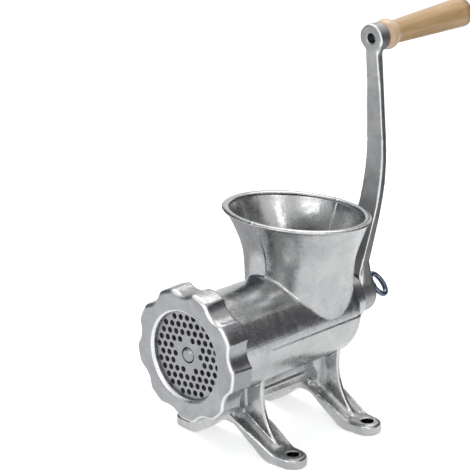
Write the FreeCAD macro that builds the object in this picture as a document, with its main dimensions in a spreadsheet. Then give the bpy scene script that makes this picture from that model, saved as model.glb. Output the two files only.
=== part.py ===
"""Hand-cranked meat grinder of plate size 32, with a bolt-down base.

Origin: midway between the four foot holes, on the table. +Z is up. The barrel lies along Y, with the
cutting plate towards -Y and the crank at +Y. Lengths are in millimetres and angles in degrees.
"""
import FreeCAD, Part

import math
import os

import Sketcher
from FreeCAD import Rotation, Vector

document = FreeCAD.newDocument("grinder")
sheet = document.addObject("Spreadsheet::Sheet", "Sizes")

SIZES = {
    # Casting: barrel, collar and rear bearing
    "axis_height": 115.5,
    "barrel_radius": 50,
    "barrel_wall": 7,
    "barrel_rear": 80,
    "barrel_end_round": 19,
    "rear_wall": 9,
    "bearing_boss_radius": 27,
    "bearing_boss_length": 23,
    "bearing_boss_root_round": 3,
    "collar_radius": 57,
    "collar_length": 19,
    "collar_flare": 8,
    "chamber_depth": 18.5,
    # Casting: hopper
    "mouth_height": 226.5,
    "mouth_half_across": 81.5,
    "mouth_half_along": 65,
    "mouth_centre": 26.2,
    "neck_inset": 0.5,
    "neck_half_along": 48.9,
    "neck_centre": 30.6,
    "hopper_wall": 4.5,
    "rim_round": 1.2,
    # Casting: four legs in two arches, with ribs and a keel
    "foot_spacing_across": 144,
    "foot_spacing_along": 110,
    "foot_radius": 14,
    "foot_thickness": 12,
    "foot_hole_radius": 6,
    "arch_crown": 30.5,
    "arch_crown_thickness": 11.5,
    "arch_crown_flat": 8,
    "arch_crown_round": 16,
    "arch_heel_round": 22,
    "arch_instep_round": 18,
    "arch_half_width": 20,
    "foot_pad_start": 50,
    "arch_knee_reach": 7,
    "rib_thickness": 5.2,
    "rib_toe": 58,
    "rib_waist": 35.4,
    "rib_waist_drop": 71,
    "rib_shoulder": 33.5,
    "rib_shoulder_drop": 36.5,
    "rib_root_round": 12,
    "channel_start": 10,
    "channel_depth": 2.2,
    "channel_lip": 3,
    "channel_ledge": 3,
    "keel_half_width": 9.5,
    "keel_web_half_width": 8,
    "keel_front_half_width": 11,
    "keel_underside": 44.8,
    "keel_flange_height": 9.2,
    "keel_barrel_drop": 46.5,
    "keel_front_reach": 84,
    "keel_rear_reach": 62,
    # Cutting plate and its pin
    "plate_radius": 49.75,
    "plate_thickness": 10,
    "plate_reach": 125,
    "plate_proud": 3,
    "plate_seat_gap": 0.25,
    "plate_hole_radius": 3,
    "plate_hole_pitch": 8.7,
    "plate_row_tilt": 7.5,
    "plate_centre_radius": 8.2,
    "pin_radius": 2.5,
    "pin_length": 28,
    "pin_slot_gap": 0.5,
    "pin_inset": 0.5,
    "press_gap": 0.02,
    # Ring nut
    "ring_lip": 6,
    "ring_length": 26,
    "ring_mouth_radius": 43.5,
    "ring_mouth_round": 4.6,
    "ring_front_radius": 66.6,
    "ring_back_radius": 67.4,
    "ring_dip_radius": 61.6,
    "ring_scallop_radius": 22,
    "ring_edge_round": 2.4,
    "ring_back_round": 1.4,
    "ring_corner_round": 3.6,
    "ring_thread_gap": 0.3,
    "thread_pitch": 4,
    "thread_depth": 1.4,
    # Knife and the stud that carries it
    "knife_thickness": 11,
    "knife_reach": 45.5,
    "knife_hub_radius": 15,
    "knife_blade_width": 13,
    "knife_bevel": 5,
    "knife_edge_height": 3,
    "knife_relief": 2,
    "knife_plate_gap": 0.1,
    "stud_square": 15,
    "stud_pin_radius": 7.5,
    "stud_pin_proud": 1.5,
    "stud_pin_round": 3.5,
    "stud_shank_radius": 7,
    "stud_shank_length": 26,
    "square_gap": 0.15,
    # Feed worm and its bearing
    "worm_gap": 0.4,
    "worm_pitch": 44,
    "worm_flight_root": 9,
    "worm_flight_tip": 5,
    "worm_core_front": 20,
    "worm_core_rear": 16,
    "worm_shoulder_radius": 24,
    "worm_shoulder_length": 7,
    "washer_thickness": 1.8,
    "washer_running_gap": 0.1,
    "washer_bore_gap": 0.3,
    "journal_radius": 14,
    "journal_gap": 0.06,
    "shaft_square": 19,
    "shaft_end_gap": 2,
    # Crank
    "hub_gap": 2.5,
    "hub_radius": 21.5,
    "hub_length": 24,
    "hub_round": 7,
    "arm_start_height": 140,
    "arm_root_round": 25,
    "arm_bend_front": 144.7,
    "arm_bend_height": 232,
    "arm_bend_radius": 190,
    "arm_top_front": 137,
    "arm_thickness": 7,
    "arm_root_thickness": 12.5,
    "arm_root_half_width": 14.6,
    "arm_tip_half_width": 8.2,
    "arm_edge_round": 1.6,
    "crank_radius": 266,
    "eye_front": 135,
    "eye_lean": 1.95,
    "eye_thickness": 14,
    "eye_radius": 14.5,
    "eye_recess_radius": 5,
    "eye_recess_depth": 4,
    # Grip, its spindle and washers
    "grip_length": 131.5,
    "grip_bead_radius": 15.6,
    "grip_bead_length": 15,
    "grip_neck_radius": 11.9,
    "grip_neck_length": 5,
    "grip_end_radius": 15.8,
    "grip_end_round": 6,
    "grip_gap": 0.4,
    "grip_washer_thickness": 1.6,
    "grip_washer_radius": 11,
    "spindle_radius": 4,
    "spindle_gap": 0.1,
    "spindle_thread_radius": 3,
    "spindle_head_radius": 7,
    "spindle_head_height": 3,
    "grip_recess_radius": 8.5,
    "grip_recess_depth": 9,
    # Thumb screw and its washer
    "screw_radius": 5,
    "screw_gap": 0.05,
    "screw_length": 24,
    "screw_hole_depth": 23,
    "screw_neck_radius": 5.5,
    "screw_washer_radius": 12,
    "screw_washer_thickness": 2,
    "screw_collar_radius": 8,
    "screw_collar_length": 4,
    "loop_half_across": 15.2,
    "loop_half_along": 9.8,
    "loop_wire_radius": 2.7,
    "loop_standoff": 20.5,
    "loop_turn": 45,
}

PLATE_RING_MIN, PLATE_RING_MAX = 4, 21
PLATE_ROWS = 5
LOBES = 9
LOBE_TURN = 32.0
BLADES = 4


class Size:
    """A length that knows both its number and the expression that gives it from the sheet."""

    def __init__(self, value, text):
        self.value = float(value)
        self.text = text

    @staticmethod
    def of(number):
        return number if isinstance(number, Size) else Size(number, repr(float(number)))

    def joined(self, sign, other, value):
        return Size(value, "(%s %s %s)" % (self.text, sign, other.text))

    def __add__(self, other):
        other = Size.of(other)
        return self.joined("+", other, self.value + other.value)

    def __sub__(self, other):
        other = Size.of(other)
        return self.joined("-", other, self.value - other.value)

    def __mul__(self, other):
        other = Size.of(other)
        return self.joined("*", other, self.value * other.value)

    def __truediv__(self, other):
        other = Size.of(other)
        return self.joined("/", other, self.value / other.value)

    def __neg__(self):
        return Size(-self.value, "(0 - %s)" % self.text)

    @property
    def is_bound(self):
        return sheet.Name in self.text


class SizeTable:
    """The sheet's sizes as attributes."""


def fill_sheet():
    """Write every driving size into the sheet and return them by name."""
    table = SizeTable()
    for row, (name, number) in enumerate(SIZES.items(), start=1):
        sheet.set("A%d" % row, name)
        sheet.set("B%d" % row, str(number))
        sheet.setAlias("B%d" % row, name)
        setattr(table, name, Size(number, "%s.%s" % (sheet.Name, name)))
    document.recompute()
    return table


S = fill_sheet()

# Stations along the barrel, as Y positions, from the plate at the front to the thumb screw at the back.
PLATE_FRONT = -S.plate_reach
PLATE_BACK = PLATE_FRONT + S.plate_thickness
COLLAR_FRONT = PLATE_FRONT + S.plate_proud
RING_FRONT = PLATE_FRONT - S.ring_lip
RING_BACK = RING_FRONT + S.ring_length
COLLAR_BACK = COLLAR_FRONT + S.collar_length
CHAMBER_BACK = COLLAR_FRONT + S.chamber_depth
KNIFE_FRONT = PLATE_BACK + S.knife_plate_gap
KNIFE_BACK = KNIFE_FRONT + S.knife_thickness
WORM_FRONT = KNIFE_BACK
REAR_WALL_FACE = S.barrel_rear - S.rear_wall
BOSS_END = S.barrel_rear + S.bearing_boss_length
WORM_SHOULDER = REAR_WALL_FACE - S.washer_running_gap - S.washer_thickness
HUB_FRONT = BOSS_END + S.hub_gap
HUB_BACK = HUB_FRONT + S.hub_length
SHAFT_END = HUB_BACK - S.shaft_end_gap
SCREW_SEAT = HUB_BACK + S.screw_washer_thickness
EYE_HEIGHT = S.axis_height + S.crank_radius
BORE_RADIUS = S.barrel_radius - S.barrel_wall
SEAT_RADIUS = S.plate_radius + S.plate_seat_gap

# Stations along the grip's own axis, from the front of the crank's eye.
GRIP_FRONT = S.eye_thickness + S.grip_washer_thickness + S.grip_gap
GRIP_END = GRIP_FRONT + S.grip_length
END_WASHER = GRIP_END - S.grip_recess_depth + S.grip_gap
SPINDLE_HEAD = END_WASHER + S.grip_washer_thickness

# The top of a leg arch: its height in the middle, and where it levels out on the foot.
ARCH_TOP = S.arch_crown + S.arch_crown_thickness
ARCH_KNEE = S.foot_pad_start + S.arch_knee_reach


def bind(thing, name, size):
    """Tie one property of a document object to the sheet."""
    size = Size.of(size)
    if size.is_bound:
        thing.setExpression(name, size.text)
    else:
        setattr(thing, name, size.value)


def place(thing, x=0, y=0, z=0, rotation=None):
    """Put an object at a bound position."""
    spot = [Size.of(size) for size in (x, y, z)]
    thing.Placement = FreeCAD.Placement(Vector(*(size.value for size in spot)), rotation or Rotation())
    for letter, size in zip("xyz", spot):
        if size.is_bound:
            thing.setExpression("Placement.Base." + letter, size.text)


# A turned piece is drawn as radius and station, so its own Z axis is laid along +Y.
ALONG_Y = Rotation(Vector(1, 0, 0), -90)


def origin_feature(body, role):
    return [feature for feature in body.Origin.OriginFeatures if feature.Role == role][0]


def new_sketch(body, name, plane, offset=0):
    """Make a sketch on one of a body's own origin planes, raised by a bound offset."""
    sketch = body.newObject("Sketcher::SketchObject", name)
    sketch.AttachmentSupport = [(origin_feature(body, plane), "")]
    sketch.MapMode = "FlatFace"
    offset = Size.of(offset)
    if offset.is_bound:
        sketch.setExpression("AttachmentOffset.Base.z", offset.text)
    return sketch


def hold(sketch, kind, where, size):
    """Constrain one measure of a sketch to a bound size."""
    size = Size.of(size)
    number = sketch.addConstraint(Sketcher.Constraint(kind, *where, size.value))
    if size.is_bound:
        sketch.setExpression("Constraints[%d]" % number, size.text)


def hold_point(sketch, geometry, end, x, y):
    """Constrain one point of a sketch by its bound coordinates."""
    for kind, axis, size in (("DistanceX", -2, Size.of(x)), ("DistanceY", -1, Size.of(y))):
        if size.value == 0:
            sketch.addConstraint(Sketcher.Constraint("PointOnObject", geometry, end, axis))
        else:
            hold(sketch, kind, (-1, 1, geometry, end), size)


def draw_outline(sketch, corners):
    """Draw a closed outline through bound corners; a third entry makes the edge an arc through it."""
    corners = [tuple(Size.of(size) for size in corner[:2]) + corner[2:] for corner in corners]
    count = len(corners)
    first = sketch.GeometryCount
    starts, ends = [], []
    for index, corner in enumerate(corners):
        following = corners[(index + 1) % count]
        here, there = (Vector(x.value, y.value, 0) for x, y in (corner[:2], following[:2]))
        if len(corner) == 2:
            sketch.addGeometry(Part.LineSegment(here, there), False)
            starts.append(1)
            ends.append(2)
            continue
        middle = [Size.of(size) for size in corner[2]]
        sketch.addGeometry(Part.Arc(here, Vector(middle[0].value, middle[1].value, 0), there), False)
        turns_left = sketch.getPoint(first + index, 1).isEqual(here, 1e-6)
        starts.append(1 if turns_left else 2)
        ends.append(2 if turns_left else 1)
    for index, corner in enumerate(corners):
        following = (index + 1) % count
        touching = (first + index, ends[index], first + following, starts[following])
        sketch.addConstraint(Sketcher.Constraint("Coincident", *touching))
        hold_point(sketch, first + index, starts[index], *corner[:2])
    for index, corner in enumerate(corners):
        if len(corner) == 2:
            continue
        x, y = (Size.of(size) for size in corner[2])
        point = sketch.addGeometry(Part.Point(Vector(x.value, y.value, 0)), True)
        hold_point(sketch, point, 1, x, y)
        sketch.addConstraint(Sketcher.Constraint("PointOnObject", point, 1, first + index))


def draw_circle(sketch, x, y, radius):
    """Draw a circle with a bound centre and radius."""
    x, y, radius = Size.of(x), Size.of(y), Size.of(radius)
    circle = Part.Circle(Vector(x.value, y.value, 0), Vector(0, 0, 1), radius.value)
    number = sketch.addGeometry(circle, False)
    hold_point(sketch, number, 3, x, y)
    hold(sketch, "Radius", (number,), radius)


def square_corners(side):
    half = side / 2
    return [(-half, -half), (half, -half), (half, half), (-half, half)]


def new_body(label):
    body = document.addObject("PartDesign::Body", label)
    body.Label = label
    return body


def new_axis_body(label):
    """Make a body whose own Z axis is the barrel's axis, pointing to +Y."""
    body = new_body(label)
    place(body, z=S.axis_height, rotation=ALONG_Y)
    return body


def new_eye_body(label):
    """Make a body whose own Z axis is the grip's axis, which leans up a little from the eye's front."""
    body = new_body(label)
    upright = 90
    leaning = Rotation(Vector(-1, 0, 0), upright - S.eye_lean.value)
    place(body, y=S.eye_front, z=EYE_HEIGHT, rotation=leaning)
    body.setExpression("Placement.Rotation.Angle", "%d deg - %s * 1 deg" % (upright, S.eye_lean.text))
    return body


def revolve(body, name, corners):
    """Turn an outline of radius and station pairs about the body's Z axis."""
    sketch = new_sketch(body, name + "_outline", "XZ_Plane")
    draw_outline(sketch, corners)
    turned = body.newObject("PartDesign::Revolution", name)
    turned.Profile = sketch
    turned.ReferenceAxis = (sketch, ["V_Axis"])
    turned.Angle = 360
    return turned


def pad(body, name, sketch, length, midplane=False):
    feature = body.newObject("PartDesign::Pad", name)
    feature.Profile = sketch
    bind(feature, "Length", length)
    feature.Midplane = midplane
    return feature


def pocket_through(body, name, sketch):
    """Cut a sketch right through the body both ways."""
    feature = body.newObject("PartDesign::Pocket", name)
    feature.Profile = sketch
    feature.Type = "ThroughAll"
    feature.Midplane = True
    return feature


def polar(body, name, feature, count):
    """Repeat a feature round the body's Z axis."""
    pattern = body.newObject("PartDesign::PolarPattern", name)
    pattern.Originals = [feature]
    pattern.Axis = (origin_feature(body, "Z_Axis"), [""])
    pattern.Angle = 360
    pattern.Occurrences = count
    body.Tip = pattern
    return pattern


def helix_groove(body, name, corners, length, additive=False):
    """Sweep an outline of radius and station pairs along a screw line about the body's Z axis."""
    sketch = new_sketch(body, name + "_outline", "XZ_Plane")
    draw_outline(sketch, corners)
    kind = "PartDesign::AdditiveHelix" if additive else "PartDesign::SubtractiveHelix"
    sweep = body.newObject(kind, name)
    sweep.Profile = sketch
    sweep.ReferenceAxis = (sketch, ["V_Axis"])
    sweep.Mode = "pitch-height-angle"
    sweep.Angle = 0
    bind(sweep, "Height", length)
    return sweep


def edge_names(shape, wanted):
    """Names of the edges that a test picks."""
    return ["Edge%d" % number for number, edge in enumerate(shape.Edges, start=1) if wanted(edge)]


def round_edges(body, name, radius, wanted, kind="PartDesign::Fillet", size="Radius"):
    """Round the picked edges of the body's last feature."""
    document.recompute()
    base = body.Tip
    feature = body.newObject(kind, name)
    feature.Base = (base, edge_names(base.Shape, wanted))
    bind(feature, size, radius)
    return feature


def near(a, b, slack=0.01):
    return abs(a - b) < slack


def circle_at(radius, station):
    """Test for a circle about a body's Z axis, with a given radius and station."""
    radius, station = Size.of(radius).value, Size.of(station).value

    def wanted(edge):
        points = edge.discretize(5)
        return all(near(math.hypot(point.x, point.y), radius) and near(point.z, station) for point in points)
    return wanted


def cylinder(name, radius, length, x=0, y=0, z=0, rotation=None):
    thing = document.addObject("Part::Cylinder", name)
    bind(thing, "Radius", radius)
    bind(thing, "Height", length)
    place(thing, x, y, z, rotation)
    return thing


def combine(kind, name, shapes):
    thing = document.addObject(kind, name)
    if kind == "Part::Compound":
        thing.Links = shapes
    else:
        thing.Shapes = shapes
    return thing


def pair(kind, name, base, tool):
    thing = document.addObject(kind, name)
    thing.Base = base
    thing.Tool = tool
    return thing


def cut(name, base, tool):
    return pair("Part::Cut", name, base, tool)


def fuse(name, base, tool):
    return pair("Part::Fuse", name, base, tool)


def rim_wire(across, along, centre, height, squareness):
    """A closed curve between an ellipse (squareness 2) and a rounded rectangle, in a level plane."""
    points = []
    for step in range(RIM_POINTS):
        angle = 2 * math.pi * step / RIM_POINTS
        cosine, sine = math.cos(angle), math.sin(angle)
        reach = (abs(cosine) ** squareness + abs(sine) ** squareness) ** (-1 / squareness)
        points.append(Vector(across * reach * cosine, centre + along * reach * sine, height))
    curve = Part.BSplineCurve()
    curve.interpolate(Points=points, PeriodicFlag=True)
    return Part.Wire([curve.toShape()])


RIM_POINTS = 24

# The hopper's shape from mouth to barrel: share of the height, share of the widening across and
# along that is left there, and how square the section is.
HOPPER_STATIONS = (
    (1.00, 1.00, 1.00, 2.0),
    (0.91, 0.835, 0.66, 2.02),
    (0.78, 0.60, 0.31, 2.1),
    (0.64, 0.35, 0.05, 2.25),
    (0.50, 0.15, 0.00, 2.5),
    (0.36, 0.03, 0.00, 2.8),
    (0.00, 0.00, 0.00, 3.0),
)


def hopper_loft(name, inset, floor, squarer=0.0):
    """The hopper's outer form, or its inside when inset by the wall."""
    top = S.mouth_height.value
    bottom = S.axis_height.value + floor
    neck_half_across = S.barrel_radius - S.neck_inset
    sections = []
    for number, (rise, across_left, along_left, squareness) in enumerate(HOPPER_STATIONS):
        height = S.axis_height.value + rise * (top - S.axis_height.value)
        height = max(height, bottom)
        across = neck_half_across.value + across_left * (S.mouth_half_across - neck_half_across).value
        along = S.neck_half_along.value + along_left * (S.mouth_half_along - S.neck_half_along).value
        centre = S.neck_centre.value + along_left * (S.mouth_centre - S.neck_centre).value
        section = document.addObject("Part::Feature", "%s_section_%d" % (name, number))
        section.Shape = rim_wire(across - inset, along - inset, centre, height, squareness + squarer)
        sections.append(section)
    loft = document.addObject("Part::Loft", name)
    loft.Sections = sections
    loft.Solid = True
    loft.Ruled = False
    return loft


def make_barrel():
    """The barrel's outside with its collar and rear bearing boss, all one turned form."""
    body = new_axis_body("barrel_outside")
    revolve(body, "barrel_turned", [
        (0, COLLAR_FRONT),
        (S.collar_radius, COLLAR_FRONT),
        (S.collar_radius, COLLAR_BACK),
        (S.barrel_radius, COLLAR_BACK + S.collar_flare),
        (S.barrel_radius, S.barrel_rear),
        (S.bearing_boss_radius, S.barrel_rear),
        (S.bearing_boss_radius, BOSS_END),
        (0, BOSS_END),
    ])
    round_edges(body, "barrel_end", S.barrel_end_round, circle_at(S.barrel_radius, S.barrel_rear))
    round_edges(body, "boss_root", S.bearing_boss_root_round, circle_at(S.bearing_boss_radius, S.barrel_rear))
    return body


def make_bore():
    """The space inside the barrel: plate seat and knife chamber, worm bore and shaft bearing."""
    body = new_axis_body("barrel_inside")
    beyond = 1
    revolve(body, "bore_turned", [
        (0, COLLAR_FRONT - beyond),
        (SEAT_RADIUS, COLLAR_FRONT - beyond),
        (SEAT_RADIUS, CHAMBER_BACK),
        (BORE_RADIUS, CHAMBER_BACK + (SEAT_RADIUS - BORE_RADIUS)),
        (BORE_RADIUS, REAR_WALL_FACE),
        (S.journal_radius + S.journal_gap, REAR_WALL_FACE),
        (S.journal_radius + S.journal_gap, BOSS_END + beyond),
        (0, BOSS_END + beyond),
    ])
    return body


def make_collar_groove():
    """The thread groove cut round the collar."""
    body = new_axis_body("collar_groove")
    half = S.thread_pitch * 0.36
    start = COLLAR_FRONT + S.thread_pitch
    groove = helix_groove(body, "collar_thread", [
        (S.collar_radius - S.thread_depth, start),
        (S.collar_radius + 0.4, start - half),
        (S.collar_radius + 0.4, start + half),
    ], S.collar_length - S.thread_pitch * 1.6, additive=True)
    bind(groove, "Pitch", S.thread_pitch)
    return body


def make_arch(name, station):
    """One arch of two legs: its side outline crossed with its plan outline."""
    reach = S.foot_spacing_across / 2 + S.foot_radius
    foot = S.foot_spacing_across / 2
    side = new_body(name + "_side")
    outline = new_sketch(side, name + "_side_outline", "XZ_Plane")
    draw_outline(outline, [
        (-reach, 0),
        (-S.foot_pad_start, 0),
        (-S.arch_crown_flat, S.arch_crown),
        (S.arch_crown_flat, S.arch_crown),
        (S.foot_pad_start, 0),
        (reach, 0),
        (reach, S.foot_thickness),
        (ARCH_KNEE, S.foot_thickness),
        (0, ARCH_TOP),
        (-ARCH_KNEE, S.foot_thickness),
        (-reach, S.foot_thickness),
    ])
    pad(side, name + "_side_pad", outline, S.arch_half_width * 2 + 2, midplane=True)
    bends = (
        ("crown_round", S.arch_crown_round, along_y_at(S.arch_crown_flat, S.arch_crown)),
        ("heel_round", S.arch_heel_round, along_y_at(S.foot_pad_start, 0)),
        ("instep_round", S.arch_instep_round, along_y_at(ARCH_KNEE, S.foot_thickness)),
    )
    for bend, radius, wanted in bends:
        round_edges(side, "%s_%s" % (name, bend), radius, wanted)
    place(side, y=station)

    plan = new_body(name + "_plan")
    outline = new_sketch(plan, name + "_plan_outline", "XY_Plane")
    draw_outline(outline, [
        (-foot, -S.foot_radius),
        (0, -S.arch_half_width),
        (foot, -S.foot_radius),
        (foot, S.foot_radius),
        (0, S.arch_half_width),
        (-foot, S.foot_radius),
    ])
    pad(plan, name + "_plan_pad", outline, ARCH_TOP + 1)
    for side_name, sign in (("right", 1), ("left", -1)):
        toe = new_sketch(plan, "%s_%s_toe_outline" % (name, side_name), "XY_Plane")
        draw_circle(toe, foot * sign, 0, S.foot_radius)
        pad(plan, "%s_%s_toe" % (name, side_name), toe, ARCH_TOP + 1)
    place(plan, y=station)
    return combine("Part::MultiCommon", name, [side, plan])


def make_channels(name, station):
    """The sunk channels in the top of an arch, on both sides of its rib."""
    sunk_top = ARCH_TOP - S.channel_depth
    sunk_foot = S.foot_thickness - S.channel_depth
    headroom = S.barrel_radius
    side = new_body(name + "_side")
    outline = new_sketch(side, name + "_side_outline", "XZ_Plane")
    draw_outline(outline, [
        (-ARCH_KNEE, sunk_foot),
        (0, sunk_top),
        (ARCH_KNEE, sunk_foot),
        (ARCH_KNEE, headroom),
        (-ARCH_KNEE, headroom),
    ])
    pad(side, name + "_side_pad", outline, S.arch_half_width * 2 + 2, midplane=True)
    place(side, y=station)

    plan = new_body(name + "_plan")
    near_rib = S.rib_thickness / 2 + S.channel_ledge
    start = S.channel_start
    widening = (S.arch_half_width - S.foot_radius) / (S.foot_spacing_across / 2)
    start_half = S.arch_half_width - widening * start - S.channel_lip
    end_half = S.arch_half_width - widening * ARCH_KNEE - S.channel_lip
    outline = new_sketch(plan, name + "_plan_outline", "XY_Plane")
    for right in (1, -1):
        for back in (1, -1):
            draw_outline(outline, [
                (start * right, near_rib * back),
                (start * right, start_half * back),
                (ARCH_KNEE * right, end_half * back),
                (ARCH_KNEE * right, near_rib * back),
            ])
    pad(plan, name + "_plan_pad", outline, headroom)
    place(plan, y=station)
    return combine("Part::MultiCommon", name, [side, plan])


def along_y_at(x, z):
    """Test for a straight edge along Y at a given distance from the middle and height."""
    def wanted(edge):
        if len(edge.Vertexes) != 2:
            return False
        ends = [vertex.Point for vertex in edge.Vertexes]
        level = all(near(abs(end.x), Size.of(x).value) and near(end.z, Size.of(z).value) for end in ends)
        return level and not near(ends[0].y, ends[1].y)
    return wanted


def draw_rib(body, name):
    """Draw a rib's outline: from the barrel down to both feet, with a hollow arc down each side."""
    toe_top = S.foot_thickness - 1
    waist_height = S.axis_height - S.rib_waist_drop
    shoulder_height = S.axis_height - S.rib_shoulder_drop
    base = S.arch_crown + S.arch_crown_thickness / 2
    outline = new_sketch(body, name + "_outline", "XZ_Plane")
    draw_outline(outline, [
        (-S.rib_toe, toe_top),
        (0, base),
        (S.rib_toe, toe_top, (S.rib_waist, waist_height)),
        (S.rib_shoulder, shoulder_height),
        (-S.rib_shoulder, shoulder_height, (-S.rib_waist, waist_height)),
    ])
    return outline


def make_rib(name, station):
    """The cross web from the barrel down to both feet."""
    body = new_body(name)
    pad(body, name + "_pad", draw_rib(body, name), S.rib_thickness, midplane=True)
    place(body, y=station)
    return body


def make_rib_root(name, station, inward):
    """The hollow rounding between a rib's inner face and the keel's web, kept inside the rib's outline."""
    side = new_body(name + "_side")
    reach = S.rib_thickness / 2 + S.rib_root_round
    pad(side, name + "_side_pad", draw_rib(side, name + "_side"), reach * 2, midplane=True)
    place(side, y=station)

    plan = new_body(name + "_plan")
    face = S.rib_thickness / 2
    outline = new_sketch(plan, name + "_plan_outline", "XY_Plane")
    near_web = S.keel_web_half_width
    far_out = near_web + S.rib_root_round
    belly = S.rib_root_round * (1 - math.sqrt(0.5))
    draw_outline(outline, [
        (-far_out, 0),
        (-far_out, face * inward, (-near_web - belly, (face + belly) * inward)),
        (-near_web, reach * inward),
        (near_web, reach * inward, (near_web + belly, (face + belly) * inward)),
        (far_out, face * inward),
        (far_out, 0),
    ])
    pad(plan, name + "_plan_pad", outline, S.axis_height)
    place(plan, y=station)
    return combine("Part::MultiCommon", name, [side, plan])


def make_keel():
    """The beam under the barrel that ties both arches, with a thin web and a wider front end."""
    top = S.axis_height - S.keel_barrel_drop
    flange_top = S.keel_underside + S.keel_flange_height
    front = -S.keel_front_reach
    length = S.keel_front_reach + S.keel_rear_reach
    half_spacing = S.foot_spacing_along / 2
    pieces = [
        box("keel_flange", S.keel_half_width, front, length, S.keel_underside, flange_top),
        box("keel_web", S.keel_web_half_width, front, length, S.keel_underside, top),
        box("keel_front", S.keel_front_half_width, front, S.keel_front_reach - half_spacing,
            S.keel_underside, top),
    ]
    seat_half = S.arch_half_width - S.channel_lip
    seat_low = S.arch_crown + S.arch_crown_thickness / 2
    for name, station in (("front", -half_spacing), ("rear", half_spacing)):
        pieces.append(box("keel_seat_" + name, S.keel_web_half_width, station - seat_half,
                          seat_half * 2, seat_low, flange_top))
    return pieces


def box(name, half_width, start, length, low, high):
    """A box across the middle plane, from a station on along the barrel."""
    thing = document.addObject("Part::Box", name)
    bind(thing, "Length", half_width * 2)
    bind(thing, "Width", length)
    bind(thing, "Height", high - low)
    place(thing, -half_width, start, low)
    return thing


def make_stand():
    """All that carries the barrel: two arches of two legs, their ribs, and the keel."""
    pieces = make_keel()
    half_spacing = S.foot_spacing_along / 2
    for name, station, inward in (("front", -half_spacing, 1), ("rear", half_spacing, -1)):
        pieces.append(make_arch(name + "_arch", station))
        pieces.append(make_rib(name + "_rib", station))
        pieces.append(make_rib_root(name + "_rib_root", station, inward))
    return combine("Part::MultiFuse", "housing_stand", pieces)


def make_stand_hollows():
    """The channels in the legs and the foot holes."""
    hollows = []
    length = S.foot_thickness + 2
    for name, station in (("front", -S.foot_spacing_along / 2), ("rear", S.foot_spacing_along / 2)):
        hollows.append(make_channels(name + "_channels", station))
        for side_name, sign in (("right", 1), ("left", -1)):
            hollows.append(cylinder("%s_%s_hole" % (name, side_name), S.foot_hole_radius, length,
                                    S.foot_spacing_across / 2 * sign, station, -1))
    return hollows


def make_housing():
    """The one-piece casting: hopper, barrel, threaded collar, bearing boss, legs, ribs and keel."""
    upper = fuse("housing_upper", make_barrel(), hopper_loft("hopper_outside", 0, 0))
    outside = fuse("housing_outside", upper, make_stand())
    hopper_inside = hopper_loft("hopper_inside", S.hopper_wall.value, S.hopper_wall.value * 2)
    hollow = fuse("barrel_and_hopper_inside", make_bore(), hopper_inside)
    others = [hollow, make_collar_groove(), pin_cylinder("pin_socket", S.press_gap)]
    inside = combine("Part::MultiFuse", "housing_inside", others + make_stand_hollows())
    sharp = cut("housing_sharp", outside, inside)
    document.recompute()
    housing = document.addObject("Part::Fillet", "housing")
    housing.Base = sharp
    rim_round = S.rim_round.value
    housing.Edges = [(number, rim_round, rim_round)
                     for number, edge in enumerate(sharp.Shape.Edges, start=1) if at_mouth(edge)]
    document.recompute()
    return housing


def at_mouth(edge):
    """Test for the hopper's two rim edges."""
    limits = edge.BoundBox
    return near(limits.ZMin, S.mouth_height.value) and near(limits.ZMax, S.mouth_height.value)


def pin_cylinder(name, extra):
    """The plate's locating pin, lying along the bottom of its seat, or a socket that much wider."""
    length = S.pin_length + extra * 2
    return cylinder(name, S.pin_radius + extra, length, 0, COLLAR_FRONT + S.pin_inset - extra,
                    S.axis_height - SEAT_RADIUS, ALONG_Y)


def make_plate_pin():
    return pin_cylinder("plate_pin", Size.of(0))


def make_cutting_plate():
    """The round plate: hexagonal rows of holes round a centre bearing hole, and a slot for the pin."""
    blank = cylinder("plate_blank", S.plate_radius, S.plate_thickness, 0, PLATE_FRONT, S.axis_height, ALONG_Y)
    beyond = 1
    length = S.plate_thickness + beyond * 2
    start = PLATE_FRONT - beyond
    holes = [cylinder("plate_centre_hole", S.plate_centre_radius, length, 0, start, S.axis_height, ALONG_Y)]
    tilt = math.radians(S.plate_row_tilt.value)
    for column, row in plate_sites():
        x, z = column + row / 2, row * math.sqrt(3) / 2
        across = x * math.cos(tilt) - z * math.sin(tilt)
        up = x * math.sin(tilt) + z * math.cos(tilt)
        holes.append(cylinder("plate_hole_%d" % len(holes), S.plate_hole_radius, length,
                              S.plate_hole_pitch * across, start,
                              S.axis_height + S.plate_hole_pitch * up, ALONG_Y))
    slot = S.pin_radius + S.pin_slot_gap
    holes.append(cylinder("plate_slot", slot, length, 0, start, S.axis_height - SEAT_RADIUS, ALONG_Y))
    return cut("cutting_plate", blank, combine("Part::Compound", "plate_holes", holes))


def plate_sites():
    """Hexagonal sites outside the centre boss and inside the rim, counted in squared pitches."""
    sites = []
    for row in range(-PLATE_ROWS, PLATE_ROWS + 1):
        for column in range(-PLATE_ROWS, PLATE_ROWS + 1):
            squared = column * column + column * row + row * row
            if PLATE_RING_MIN <= squared <= PLATE_RING_MAX:
                sites.append((column, row))
    return sites


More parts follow.
